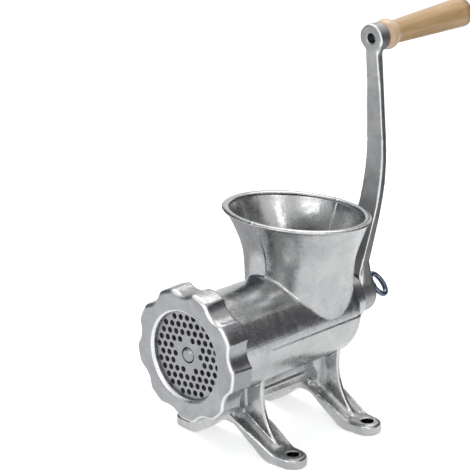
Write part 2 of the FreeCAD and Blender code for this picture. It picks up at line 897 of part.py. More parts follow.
def make_ring_nut():
    """The ring nut: a rolled mouth, nine lobes between scallops, and its inside thread groove."""
    body = new_axis_body("ring_nut")
    body.Placement.Rotation = ALONG_Y * Rotation(Vector(0, 0, 1), 180 / LOBES - LOBE_TURN)
    thread_radius = S.collar_radius + S.ring_thread_gap
    revolve(body, "ring_turned", [
        (S.ring_mouth_radius, PLATE_FRONT),
        (thread_radius, PLATE_FRONT),
        (thread_radius, RING_BACK),
        (S.ring_back_radius, RING_BACK),
        (S.ring_front_radius, RING_FRONT),
        (S.ring_mouth_radius, RING_FRONT),
    ])
    outline = new_sketch(body, "scallop_outline", "XY_Plane")
    draw_circle(outline, S.ring_dip_radius + S.ring_scallop_radius, 0, S.ring_scallop_radius)
    scallop = pocket_through(body, "scallop", outline)
    polar(body, "scallops", scallop, LOBES)
    round_edges(body, "lobe_corners", S.ring_corner_round, lobe_corner)
    round_edges(body, "front_outline", S.ring_edge_round, outline_at(RING_FRONT))
    round_edges(body, "back_outline", S.ring_back_round, outline_at(RING_BACK))
    round_edges(body, "mouth", S.ring_mouth_round, circle_at(S.ring_mouth_radius, RING_FRONT))
    half = S.thread_pitch * 0.36
    start = PLATE_FRONT + S.thread_pitch
    overlap = 0.4
    groove = helix_groove(body, "ring_thread", [
        (thread_radius + S.thread_depth, start),
        (thread_radius - overlap, start + half),
        (thread_radius - overlap, start - half),
    ], S.ring_length - S.ring_lip - S.thread_pitch * 1.6)
    bind(groove, "Pitch", S.thread_pitch)
    return body


def lobe_corner(edge):
    """Test for the long edges between lobes and scallops."""
    ends = [vertex.Point for vertex in edge.Vertexes]
    if len(ends) != 2 or near(ends[0].z, ends[1].z, 1):
        return False
    return all(math.hypot(end.x, end.y) > S.ring_dip_radius.value for end in ends)


def outline_at(station):
    """Test for the edges of the lobed outline in one face of the ring."""
    level = station.value

    def wanted(edge):
        points = edge.discretize(3)
        flat = all(near(point.z, level, 0.05) for point in points)
        return flat and math.hypot(points[1].x, points[1].y) > (S.collar_radius + S.ring_thread_gap).value + 1
    return wanted


def make_knife():
    """The four-bladed knife, flat towards the plate, with a square hole for the stud."""
    body = new_axis_body("cross_knife")
    revolve(body, "knife_hub", [
        (0, KNIFE_FRONT), (S.knife_hub_radius, KNIFE_FRONT), (S.knife_hub_radius, KNIFE_BACK), (0, KNIFE_BACK),
    ])
    half = S.knife_blade_width / 2
    blade_back = KNIFE_BACK - S.knife_relief
    outline = new_sketch(body, "blade_outline", "YZ_Plane")
    draw_outline(outline, [
        (-half, KNIFE_FRONT),
        (half, KNIFE_FRONT),
        (half, KNIFE_FRONT + S.knife_edge_height),
        (half - S.knife_bevel, blade_back),
        (-half + 1, blade_back),
    ])
    blade = pad(body, "blade", outline, S.knife_reach)
    polar(body, "blades", blade, BLADES)
    hole = new_sketch(body, "knife_hole_outline", "XY_Plane")
    draw_outline(hole, square_corners(S.stud_square + S.square_gap * 2))
    pocket_through(body, "knife_hole", hole)
    return body


def make_stud():
    """The stud in the worm's nose: a round pin for the plate, a square for the knife and a shank."""
    body = new_axis_body("worm_stud")
    tip = PLATE_FRONT - S.stud_pin_proud
    end = WORM_FRONT + S.stud_shank_length
    revolve(body, "stud_turned", [
        (0, tip),
        (S.stud_pin_radius, tip),
        (S.stud_pin_radius, KNIFE_FRONT),
        (S.stud_shank_radius, KNIFE_FRONT),
        (S.stud_shank_radius, end),
        (0, end),
    ])
    round_edges(body, "stud_dome", S.stud_pin_round, circle_at(S.stud_pin_radius, tip))
    outline = new_sketch(body, "stud_square_outline", "XY_Plane", KNIFE_FRONT)
    draw_outline(outline, square_corners(S.stud_square))
    pad(body, "stud_square_pad", outline, S.knife_thickness)
    return body


def make_worm():
    """The feed worm: tapered core with a screw flight, rear shoulder, journal and squared end."""
    body = new_axis_body("feed_worm")
    shoulder = WORM_SHOULDER - S.worm_shoulder_length
    journal_end = BOSS_END + S.hub_gap / 2
    revolve(body, "worm_core", [
        (0, WORM_FRONT),
        (S.worm_core_front, WORM_FRONT),
        (S.worm_core_rear, shoulder),
        (S.worm_shoulder_radius, shoulder),
        (S.worm_shoulder_radius, WORM_SHOULDER),
        (S.journal_radius, WORM_SHOULDER),
        (S.journal_radius, journal_end),
        (0, journal_end),
    ])
    outline = new_sketch(body, "shaft_square_outline", "XY_Plane", journal_end)
    draw_outline(outline, square_corners(S.shaft_square))
    pad(body, "shaft_square_pad", outline, SHAFT_END - journal_end)
    bore_out(body, "stud_socket", S.stud_shank_radius + S.press_gap, WORM_FRONT,
             WORM_FRONT + S.stud_shank_length + S.press_gap)
    bore_out(body, "screw_hole", S.screw_radius, SHAFT_END - S.screw_hole_depth, SHAFT_END)
    tip_radius = BORE_RADIUS - S.worm_gap
    root_radius = S.worm_core_rear - 3
    start = WORM_FRONT + S.worm_flight_root / 2
    run = shoulder - S.worm_flight_root / 2 - start
    flight = helix_groove(body, "worm_flight", [
        (root_radius, start - S.worm_flight_root / 2),
        (tip_radius, start - S.worm_flight_tip / 2),
        (tip_radius, start + S.worm_flight_tip / 2),
        (root_radius, start + S.worm_flight_root / 2),
    ], run, additive=True)
    bind(flight, "Pitch", S.worm_pitch)
    flight.LeftHanded = True
    return body


def bore_out(body, name, radius, start, end):
    """Cut a round hole on the body's axis between two stations."""
    sketch = new_sketch(body, name + "_outline", "XZ_Plane")
    draw_outline(sketch, [(0, start), (radius, start), (radius, end), (0, end)])
    groove = body.newObject("PartDesign::Groove", name)
    groove.Profile = sketch
    groove.ReferenceAxis = (sketch, ["V_Axis"])
    groove.Angle = 360
    return groove


def make_washer(body, inner, outer, start, thickness):
    """A flat ring about a body's own axis."""
    revolve(body, body.Label + "_turned", [
        (inner, start), (outer, start), (outer, start + thickness), (inner, start + thickness),
    ])
    return body


def make_crank_arm():
    """The crank: squared hub, arm that leans back then rises, and an eye for the grip's spindle."""
    body = new_body("crank_arm_body")
    side = new_sketch(body, "arm_side_outline", "YZ_Plane")
    root_back = HUB_FRONT + S.arm_root_thickness
    bend_back = S.arm_bend_front + S.arm_thickness * 1.06
    bend_back_height = S.arm_bend_height + S.arm_thickness * 0.2
    draw_outline(side, [
        (HUB_FRONT, S.axis_height),
        (HUB_FRONT, S.arm_start_height),
        (S.arm_bend_front, S.arm_bend_height),
        (S.arm_top_front, EYE_HEIGHT),
        (S.arm_top_front + S.arm_thickness, EYE_HEIGHT),
        (bend_back, bend_back_height),
        (root_back, S.arm_start_height),
        (root_back, S.axis_height),
    ])
    pad(body, "arm_side", side, S.hub_radius * 2, midplane=True)
    bends = (
        ("arm_front_bend", S.arm_bend_radius, across_at(S.arm_bend_front, S.arm_bend_height)),
        ("arm_back_bend", S.arm_bend_radius + S.arm_thickness, across_at(bend_back, bend_back_height)),
        ("arm_front_root", S.arm_root_round, across_at(HUB_FRONT, S.arm_start_height)),
        ("arm_back_root", S.arm_root_round, across_at(root_back, S.arm_start_height)),
    )
    for name, radius, wanted in bends:
        round_edges(body, name, radius, wanted)

    beyond = S.hub_radius + 5
    top = EYE_HEIGHT + beyond
    bottom = S.axis_height - beyond
    neck_start = EYE_HEIGHT - S.eye_radius * 1.3
    neck_end = (S.eye_radius * 0.81, EYE_HEIGHT - S.eye_radius * 0.58)
    neck_middle = (S.arm_tip_half_width * 0.8 + neck_end[0] * 0.2, neck_start * 0.5 + neck_end[1] * 0.5)
    flanks = new_sketch(body, "arm_flanks_outline", "XZ_Plane")
    for sign in (1, -1):
        draw_outline(flanks, [
            (S.arm_root_half_width * sign, bottom),
            (S.arm_root_half_width * sign, S.arm_start_height),
            (S.arm_tip_half_width * sign, neck_start, (neck_middle[0] * sign, neck_middle[1])),
            (neck_end[0] * sign, neck_end[1]),
            (neck_end[0] * sign, top),
            (beyond * sign, top),
            (beyond * sign, bottom),
        ])
    pocket_through(body, "arm_flanks", flanks)
    round_edges(body, "arm_edges", S.arm_edge_round, arm_long_edge)

    hub = new_sketch(body, "hub_outline", "XZ_Plane", -HUB_BACK)
    draw_circle(hub, 0, S.axis_height, S.hub_radius)
    pad(body, "hub", hub, S.hub_length)
    round_edges(body, "hub_back", S.hub_round, rim_at(S.hub_radius, HUB_BACK, S.axis_height))
    square = new_sketch(body, "hub_square_outline", "XZ_Plane")
    side = S.shaft_square + S.square_gap * 2
    draw_outline(square, [(x, y + S.axis_height) for x, y in square_corners(side)])
    pocket_through(body, "hub_square", square)
    arm = combine("Part::MultiFuse", "crank_arm_solid", [body, make_eye()])
    return cut("crank_arm", arm, make_eye_hole())


def make_eye():
    """The round boss at the top of the crank."""
    body = new_eye_body("eye")
    revolve(body, "eye_turned", [
        (0, 0), (S.eye_radius, 0), (S.eye_radius, S.eye_thickness), (0, S.eye_thickness),
    ])
    for name, station in (("eye_front_rim", 0), ("eye_back_rim", S.eye_thickness)):
        round_edges(body, name, S.arm_edge_round, circle_at(S.eye_radius, station))
    return body


def make_eye_hole():
    """The spindle's hole through the eye, with a round recess in front."""
    body = new_eye_body("eye_hole")
    thread = S.spindle_thread_radius + S.screw_gap
    beyond = 1
    revolve(body, "eye_hole_turned", [
        (0, -beyond),
        (S.eye_recess_radius, -beyond),
        (S.eye_recess_radius, S.eye_recess_depth),
        (thread, S.eye_recess_depth),
        (thread, S.eye_thickness + beyond),
        (0, S.eye_thickness + beyond),
    ])
    return body


def across_at(y, z):
    """Test for a straight edge across X at a given station and height."""
    def wanted(edge):
        ends = [vertex.Point for vertex in edge.Vertexes]
        if len(ends) != 2 or near(ends[0].x, ends[1].x):
            return False
        return all(near(end.y, Size.of(y).value) and near(end.z, Size.of(z).value) for end in ends)
    return wanted


def arm_long_edge(edge):
    """Test for the four long edges of the arm."""
    limits = edge.BoundBox
    on_flank = min(abs(limits.XMin), abs(limits.XMax)) > S.arm_tip_half_width.value - 1
    return on_flank and limits.ZLength > limits.XLength * 2 and limits.ZMax < EYE_HEIGHT.value - 1


def rim_at(radius, station, height):
    """Test for a circle, or an arc of one, facing along Y over the middle."""
    radius, station, height = radius.value, station.value, height.value

    def wanted(edge):
        points = edge.discretize(5)
        return all(near(math.hypot(point.x, point.z - height), radius) and near(point.y, station)
                   for point in points)
    return wanted


def make_grip():
    """The turned wooden grip: a bead at the eye, a neck, a long swell and a recessed end."""
    body = new_eye_body("grip")
    bore = S.spindle_radius + S.spindle_gap
    bead_end = GRIP_FRONT + S.grip_bead_length
    bead_shoulder = S.grip_neck_radius + 0.6
    revolve(body, "grip_turned", [
        (bore, GRIP_FRONT),
        (bead_shoulder, GRIP_FRONT, (S.grip_bead_radius, GRIP_FRONT + S.grip_bead_length / 2)),
        (bead_shoulder, bead_end),
        (S.grip_neck_radius, bead_end + S.grip_neck_length),
        (S.grip_end_radius, GRIP_END - S.grip_end_round),
        (S.grip_end_radius, GRIP_END),
        (S.grip_recess_radius, GRIP_END),
        (S.grip_recess_radius, GRIP_END - S.grip_recess_depth),
        (bore, GRIP_END - S.grip_recess_depth),
    ])
    round_edges(body, "grip_end", S.grip_end_round, circle_at(S.grip_end_radius, GRIP_END))
    return body


def make_spindle():
    """The shouldered bolt that the grip turns on, screwed into the crank's eye."""
    body = new_eye_body("grip_spindle")
    tip = S.eye_recess_depth + 0.5
    head = SPINDLE_HEAD
    revolve(body, "spindle_turned", [
        (0, tip),
        (S.spindle_thread_radius, tip),
        (S.spindle_thread_radius, S.eye_thickness),
        (S.spindle_radius, S.eye_thickness),
        (S.spindle_radius, head),
        (S.spindle_head_radius, head),
        (S.spindle_head_radius, head + S.spindle_head_height),
        (0, head + S.spindle_head_height),
    ])
    slot = new_sketch(body, "spindle_slot_outline", "XZ_Plane")
    depth = S.spindle_head_height / 2
    width = S.spindle_head_height / 4
    slot_bottom = head + S.spindle_head_height - depth
    draw_outline(slot, [
        (-width, slot_bottom), (width, slot_bottom), (width, slot_bottom + depth * 2),
        (-width, slot_bottom + depth * 2),
    ])
    pocket_through(body, "spindle_slot", slot)
    return body


def make_thumb_screw():
    """The screw that holds the crank on, with an oval loop for a head."""
    body = new_axis_body("thumb_screw")
    body.Placement.Rotation = ALONG_Y * Rotation(Vector(0, 0, 1), S.loop_turn.value)
    tip = SCREW_SEAT - S.screw_length
    collar_end = SCREW_SEAT + S.screw_collar_length
    centre = SCREW_SEAT + S.loop_standoff
    neck_end = centre - S.loop_half_along + S.loop_wire_radius / 2
    shank = S.screw_radius - S.screw_gap
    revolve(body, "screw_turned", [
        (0, tip),
        (shank, tip),
        (shank, SCREW_SEAT),
        (S.screw_collar_radius, SCREW_SEAT),
        (S.screw_collar_radius, collar_end),
        (shank, collar_end),
        (S.screw_neck_radius, neck_end),
        (0, neck_end),
    ])
    spine = new_sketch(body, "loop_spine", "XZ_Plane")
    draw_ellipse(spine, centre, S.loop_half_across - S.loop_wire_radius, S.loop_half_along - S.loop_wire_radius)
    wire = new_sketch(body, "loop_wire_outline", "YZ_Plane")
    draw_circle(wire, 0, centre + S.loop_half_along - S.loop_wire_radius, S.loop_wire_radius)
    loop = body.newObject("PartDesign::AdditivePipe", "loop")
    loop.Profile = wire
    loop.Spine = (spine, ["Edge1"])
    return body


def draw_ellipse(sketch, centre, half_across, half_along):
    """Draw an ellipse with its long way across, on the sketch's upright axis."""
    ellipse = Part.Ellipse(Vector(0, centre.value, 0), half_across.value, half_along.value)
    number = sketch.addGeometry(ellipse, False)
    sketch.exposeInternalGeometry(number)
    major, minor = number + 1, number + 2
    hold_point(sketch, number, 3, 0, centre)
    sketch.addConstraint(Sketcher.Constraint("Horizontal", major))
    hold(sketch, "Distance", (major,), half_across * 2)
    hold(sketch, "Distance", (minor,), half_along * 2)


def mark(thing, label):
    thing.Label = label
    return thing


PARTS = [
    mark(make_housing(), "housing"),
    make_plate_pin(),
    make_cutting_plate(),
    make_ring_nut(),
    make_knife(),
    make_stud(),
    make_worm(),
    make_washer(new_axis_body("thrust_washer"), S.journal_radius + S.washer_bore_gap,
                S.worm_shoulder_radius, WORM_SHOULDER, S.washer_thickness),
    mark(make_crank_arm(), "crank_arm"),
    make_washer(new_axis_body("screw_washer"), S.screw_radius + S.washer_bore_gap,
                S.screw_washer_radius, HUB_BACK, S.screw_washer_thickness),
    make_thumb_screw(),
    make_washer(new_eye_body("grip_washer"), S.spindle_radius + S.spindle_gap,
                S.grip_washer_radius, S.eye_thickness, S.grip_washer_thickness),
    make_grip(),
    make_washer(new_eye_body("grip_end_washer"), S.spindle_radius + S.spindle_gap,
                S.spindle_head_radius + 1, END_WASHER, S.grip_washer_thickness),
    make_spindle(),
]


def check_and_export():
    """Stop on any failed object or unsound shape, then write one file per piece."""
    document.recompute()
    for thing in document.Objects:
        if "Invalid" in thing.State or "Error" in thing.State:
            raise RuntimeError("%s did not rebuild: %s" % (thing.Name, thing.State))
    for part in PARTS:
        if part.Shape.isNull() or not part.Shape.isValid():
            raise RuntimeError("%s has no sound shape" % part.Label)
    os.makedirs("parts", exist_ok=True)
    for part in PARTS:
        part.Shape.exportStep(os.path.join("parts", part.Label + ".step"))
        print("%-16s %d solid, %.1f cm3" % (part.Label, len(part.Shape.Solids), part.Shape.Volume / 1000))


check_and_export()
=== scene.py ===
"""Looks of the hand-cranked meat grinder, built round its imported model. Lengths are in metres."""
import math

import bmesh
import bpy
from mathutils import Matrix, Vector
from mathutils.bvhtree import BVHTree
from mathutils.kdtree import KDTree


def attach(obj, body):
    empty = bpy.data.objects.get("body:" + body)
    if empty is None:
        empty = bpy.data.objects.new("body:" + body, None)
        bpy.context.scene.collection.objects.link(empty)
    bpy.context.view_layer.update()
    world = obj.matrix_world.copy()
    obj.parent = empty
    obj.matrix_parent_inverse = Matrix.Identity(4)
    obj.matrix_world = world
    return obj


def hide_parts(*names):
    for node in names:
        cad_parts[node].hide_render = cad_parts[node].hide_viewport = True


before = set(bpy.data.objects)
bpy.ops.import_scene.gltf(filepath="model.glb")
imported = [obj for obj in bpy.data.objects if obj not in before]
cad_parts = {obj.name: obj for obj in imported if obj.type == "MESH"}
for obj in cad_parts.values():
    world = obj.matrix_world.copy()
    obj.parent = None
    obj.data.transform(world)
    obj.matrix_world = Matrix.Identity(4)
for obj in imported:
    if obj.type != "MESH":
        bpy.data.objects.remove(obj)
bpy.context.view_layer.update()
SCENE = bpy.context.scene
MM = 0.001

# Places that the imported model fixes

AXIS_HEIGHT = 115.5 * MM
FOOT_ACROSS, FOOT_ALONG = 72 * MM, 55 * MM
MOUTH_HEIGHT = 226.5 * MM
MOUTH_CENTRE = 26.2 * MM
MOUTH_ACROSS, MOUTH_ALONG = 81.5 * MM, 65 * MM
RIB_PLANE, RIB_HALF = 55 * MM, 2.6 * MM
HUB_RADIUS = 21.5 * MM
HUB_FRONT, HUB_BACK = 105.5 * MM, 129.5 * MM
RING_FRONT = -131 * MM
EYE_HEIGHT, EYE_FRONT, EYE_RADIUS = 381.5 * MM, 135 * MM, 14.5 * MM
BEAD_END, GRIP_END = 166 * MM, 282 * MM

# The camera, as fitted to the photograph

AZIMUTH, ELEVATION, ROLL = 45.04, 18.492, -0.509
LOOK_AT = Vector((-94.386, 34.309, 176.401)) * MM
CAMERA_DISTANCE = 1991.769 * MM
LENS, SENSOR_WIDTH = 147.4, 36
CLIP_END = 50

# Light and floor

WARM, WHITE, COOL = (1, 0.97, 0.92), (1, 1, 1), (0.93, 0.96, 1)
TABLE_GREY = (0.86, 0.86, 0.86)
FLOOR_RADIUS = 4
MIDDLE = (0, 0, 0.15)

# Bright corners (a painted highlight, and rubbed tin on the casting), bores painted black as shade,
# and calm parts of the metal. Each pair is where a change begins and where it ends.

# The bright colour of corners: a painted highlight, and on the casting rubbed tin as well
SHEEN_AND_WEAR_TIN = (0.86, 0.86, 0.85)
# The black of bores: painted shade in the feet's bolt holes and the crank's eye
BORE_PAINTED_SHADE = (0.02, 0.02, 0.02)
FOOT_BORE_EDGE = 6.1 * MM, 6.9 * MM
FOOT_BORE_TOP = 14 * MM, 16 * MM
EYE_BORE_EDGE = 4.7 * MM, 5.3 * MM
HOPPER_START = AXIS_HEIGHT + 40 * MM, AXIS_HEIGHT + 60 * MM
LEGS_END = 48 * MM, 70 * MM

# Meshes

MERGE_DISTANCE = 0.002 * MM
MOST_TRIANGLES = 190000
CREASE_ANGLE = math.radians(24)
CREASE_STEP = 1 * MM
# How much a corner must face forwards and outwards to get a painted highlight
SHEEN_FROM, SHEEN_FULL = 0.28, 0.5

# The casting: its rim, its parting lines and the zones of its corners

RIM_HALF_WIDTH, RIM_HALF_HEIGHT = 3.2 * MM, 2.2 * MM
MOUTH_SLOPE = -0.035
SLOPE_FROM, SLOPE_FULL = 165 * MM, 220 * MM

RIDGE_LOWEST = AXIS_HEIGHT + 46 * MM
RIDGE_REACH, RIDGE_WIDTH, RIDGE_HEIGHT = 3 * MM, 0.8 * MM, 0.55 * MM
RIDGE_FACING = 0.3
STEP_RADIUS = 47 * MM
STEP_START, STEP_END = -60 * MM, 76 * MM
STEP_FADE_FROM, STEP_FADE_FULL = 12 * MM, 2 * MM
STEP_BLEND, STEP_HEIGHT = 0.7 * MM, 0.5 * MM
STEP_FACING = 0.75

SADDLE_LOWEST, SADDLE_RADIUS = AXIS_HEIGHT + 4 * MM, 48 * MM
SADDLE_START, SADDLE_END = -30 * MM, 84 * MM
FOOT_TOP, SOLE_TOP = 16 * MM, 6 * MM
FOOT_INSIDE, FOOT_OUTSIDE = 9 * MM, 18 * MM
RIB_START, RIB_END, RIB_TOP = 12 * MM, 62 * MM, 60 * MM
RIB_MARGIN = 0.9 * MM
CROWN_ACROSS, CROWN_ALONG = 24 * MM, 34 * MM
CROWN_LOWEST, CROWN_HIGHEST = 24 * MM, 78 * MM
LEG_TOP = 60 * MM
# How high, and how wide along the outer edges, the casting gets bright tin: rubbed tin and a
# painted highlight
SHEEN_AND_WEAR_HIGHEST = 200 * MM
SHEEN_AND_WEAR_WIDTH = 1.3 * MM

# The ring nut

LOBE_RADIUS, FACE_EDGE_RADIUS = 58 * MM, 59 * MM
# The face's edge, and how far back its painted highlight reaches
FACE_EDGE_END, FACE_BRIGHT_END = RING_FRONT + 2.6 * MM, RING_FRONT + 6 * MM

# The crank: its gusset, with the radius and the place of each arc on the hub, and its corners

GUSSET_TOP = AXIS_HEIGHT + 42 * MM
GUSSET_LOWEST = 10.5 * MM
GUSSET_ARCS = (
    (HUB_RADIUS - 2.5 * MM, HUB_FRONT + 0.2 * MM),
    (HUB_RADIUS - 0.2 * MM, HUB_FRONT + 4 * MM),
    (HUB_RADIUS - 0.2 * MM, HUB_BACK - 8 * MM),
    (HUB_RADIUS - 3.5 * MM, HUB_BACK - 2 * MM),
)
ARC_DEGREES = 4
ROOT_LOWEST, ROOT_HIGHEST = AXIS_HEIGHT + 10 * MM, AXIS_HEIGHT + 55 * MM
NECK_LOWEST, NECK_END = EYE_HEIGHT - 40 * MM, EYE_FRONT + 5 * MM
NECK_RADIUS = EYE_RADIUS - 2 * MM
HUB_EDGE_MARGIN = 1 * MM
ARM_LOWEST = AXIS_HEIGHT + 20 * MM
# How far back the painted highlight on the hub's and the arm's front edges reaches
HUB_BRIGHT_END, ARM_BRIGHT_END = HUB_FRONT + 12 * MM, 150 * MM


def linked(name, data):
    """A new object in the scene."""
    thing = bpy.data.objects.new(name, data)
    SCENE.collection.objects.link(thing)
    return thing


def mesh_of(name, bm):
    """A new mesh from a bmesh, which is freed."""
    mesh = bpy.data.meshes.new(name)
    bm.to_mesh(mesh)
    bm.free()
    return mesh


def empty_tree(block):
    """The nodes and links of a material or a world, cleared for new ones."""
    block.use_nodes = True
    tree = block.node_tree
    tree.nodes.clear()
    return tree.nodes, tree.links


def from_axis(place):
    """How far a place is from the barrel's axis."""
    return math.hypot(place.x, place.z - AXIS_HEIGHT)


def from_eye(place):
    """How far a place is from the axis of the crank's eye."""
    return math.hypot(place.x, place.z - EYE_HEIGHT)


def ease(value, start, end):
    """0 before the start, 1 after the end, and smooth between."""
    share = min(1, max(0, (value - start) / (end - start)))
    return share * share * (3 - 2 * share)


# Camera, light and floor

def camera_turn():
    """The camera's axes as a turn, from its azimuth, height above the horizon and roll."""
    azimuth, elevation = math.radians(AZIMUTH), math.radians(ELEVATION)
    back = Vector((math.sin(azimuth) * math.cos(elevation),
                   -math.cos(azimuth) * math.cos(elevation), math.sin(elevation)))
    right = Vector((math.cos(azimuth), math.sin(azimuth), 0))
    up = back.cross(right)
    level = Matrix((right, up, back)).transposed()
    return level @ Matrix.Rotation(math.radians(ROLL), 3, "Z")


def add_camera():
    """The camera, at its distance from the point that it looks at."""
    camera = linked("camera", bpy.data.cameras.new("camera"))
    turn = camera_turn()
    place = Matrix.Translation(LOOK_AT + turn.col[2] * CAMERA_DISTANCE)
    camera.matrix_world = place @ turn.to_4x4()
    camera.data.sensor_width = SENSOR_WIDTH
    camera.data.lens = LENS
    camera.data.clip_end = CLIP_END
    SCENE.camera = camera


def facing(place, aim):
    """The placing of a light or a card that faces a point."""
    way = Vector(aim) - Vector(place)
    return Matrix.Translation(place) @ way.to_track_quat("-Z", "Y").to_matrix().to_4x4()


def add_softbox(name, place, size, power, colour=WHITE):
    """A rectangular studio light that faces the object's middle."""
    lamp = bpy.data.lights.new(name, "AREA")
    lamp.shape = "RECTANGLE"
    lamp.size, lamp.size_y = size
    lamp.energy = power
    lamp.color = colour
    linked(name, lamp).matrix_world = facing(place, MIDDLE)


def seen_or_mirrored(nodes, links):
    """A value that is 1 for what the camera sees, directly or through gloss and glass."""
    rays = nodes.new("ShaderNodeLightPath")
    seen = rays.outputs["Is Camera Ray"]
    for name in ("Is Glossy Ray", "Is Transmission Ray"):
        either = nodes.new("ShaderNodeMath")
        either.operation = "MAXIMUM"
        links.new(seen, either.inputs[0])
        links.new(rays.outputs[name], either.inputs[1])
        seen = either.outputs[0]
    return seen


def add_world(fill):
    """White for the camera and for reflections, and a weaker fill for the light on the object."""
    world = bpy.data.worlds.new("studio")
    SCENE.world = world
    nodes, links = empty_tree(world)
    white = nodes.new("ShaderNodeBackground")
    white.inputs["Color"].default_value = (*WHITE, 1)
    soft = nodes.new("ShaderNodeBackground")
    soft.inputs["Color"].default_value = (*COOL, 1)
    soft.inputs["Strength"].default_value = fill
    mix = nodes.new("ShaderNodeMixShader")
    links.new(seen_or_mirrored(nodes, links), mix.inputs["Fac"])
    links.new(soft.outputs[0], mix.inputs[1])
    links.new(white.outputs[0], mix.inputs[2])
    links.new(mix.outputs[0], nodes.new("ShaderNodeOutputWorld").inputs["Surface"])


def add_floor(lift):
    """The pale table, lifted to white where the camera or a reflection sees it."""
    bm = bmesh.new()
    bmesh.ops.create_circle(bm, cap_ends=True, segments=64, radius=FLOOR_RADIUS)
    floor = linked("floor", mesh_of("floor", bm))
    paper = bpy.data.materials.new("pale_table")
    nodes, links = empty_tree(paper)
    matt = nodes.new("ShaderNodeBsdfDiffuse")
    matt.inputs["Color"].default_value = (*TABLE_GREY, 1)
    glow = nodes.new("ShaderNodeEmission")
    strength = nodes.new("ShaderNodeMath")
    strength.operation = "MULTIPLY"
    strength.inputs[1].default_value = lift
    links.new(seen_or_mirrored(nodes, links), strength.inputs[0])
    links.new(strength.outputs[0], glow.inputs["Strength"])
    both = nodes.new("ShaderNodeAddShader")
    links.new(matt.outputs[0], both.inputs[0])
    links.new(glow.outputs[0], both.inputs[1])
    links.new(both.outputs[0], nodes.new("ShaderNodeOutputMaterial").inputs["Surface"])
    floor.data.materials.append(paper)


def add_flag(name, place, size, colour, aim=MIDDLE):
    """A dark or grey studio card, seen only in reflections."""
    bm = bmesh.new()
    bmesh.ops.create_grid(bm, x_segments=1, y_segments=1, size=0.5)
    bmesh.ops.transform(bm, matrix=facing(place, aim) @ Matrix.Diagonal((*size, 1, 1)),
                        verts=bm.verts)
    flag = linked(name, mesh_of(name, bm))
    cloth = bpy.data.materials.new(name + "_cloth")
    nodes, links = empty_tree(cloth)
    glow = nodes.new("ShaderNodeEmission")
    glow.inputs["Color"].default_value = (*colour, 1)
    links.new(glow.outputs[0], nodes.new("ShaderNodeOutputMaterial").inputs["Surface"])
    flag.data.materials.append(cloth)
    flag.visible_camera = False
    flag.visible_diffuse = False
    flag.visible_shadow = False
    flag.visible_transmission = False


# Materials

